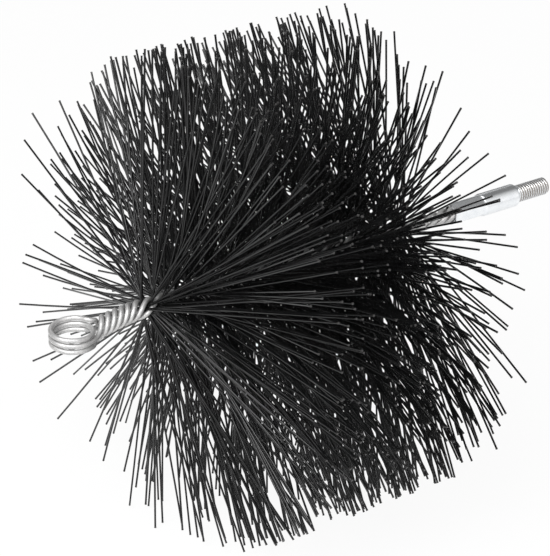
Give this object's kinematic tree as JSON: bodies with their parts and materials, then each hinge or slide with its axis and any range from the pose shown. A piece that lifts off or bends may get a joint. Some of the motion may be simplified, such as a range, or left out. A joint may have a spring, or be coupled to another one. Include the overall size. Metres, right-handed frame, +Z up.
{
  "type": "chimney sweep brush",
  "caption": "Round chimney sweep brush: straight black plastic bristles on a twisted wire stem, with a wound wire eye at one end and a crimped ferrule with a threaded stud at the other.",
  "frame": {"origin": "on the stem's axis where the stud's thread starts, beside the barrel's shoulder", "axes": "+X along the stem from the wire eye to the stud's tip, +Z up, square to the eye's turns, when the brush lies on its bristles"},
  "size_m": [0.3078, 0.2543, 0.2536],
  "materials": {
    "bristles": "satin black filament, paler where it is cut",
    "wire": "dull galvanised wire",
    "ferrule": "bright zinc plate, with turning marks"
  },
  "bodies": {
    "root": {"bristle_band_01": "bristles", "bristle_band_02": "bristles", "bristle_band_03": "bristles", "bristle_band_04": "bristles", "bristle_band_05": "bristles", "bristle_band_06": "bristles", "bristle_band_07": "bristles", "bristle_band_08": "bristles", "bristle_band_09": "bristles", "bristle_band_10": "bristles", "bristle_band_11": "bristles", "bristle_band_12": "bristles", "bristle_band_13": "bristles", "bristle_band_14": "bristles", "bristle_band_15": "bristles", "bristle_band_16": "bristles", "bristle_band_17": "bristles", "bristle_band_18": "bristles", "bristle_band_19": "bristles", "bristle_band_20": "bristles", "eye_wire_double_turn": "wire", "eye_wire_single_turn": "wire", "threaded_ferrule": "ferrule"}
  },
  "joints": []
}
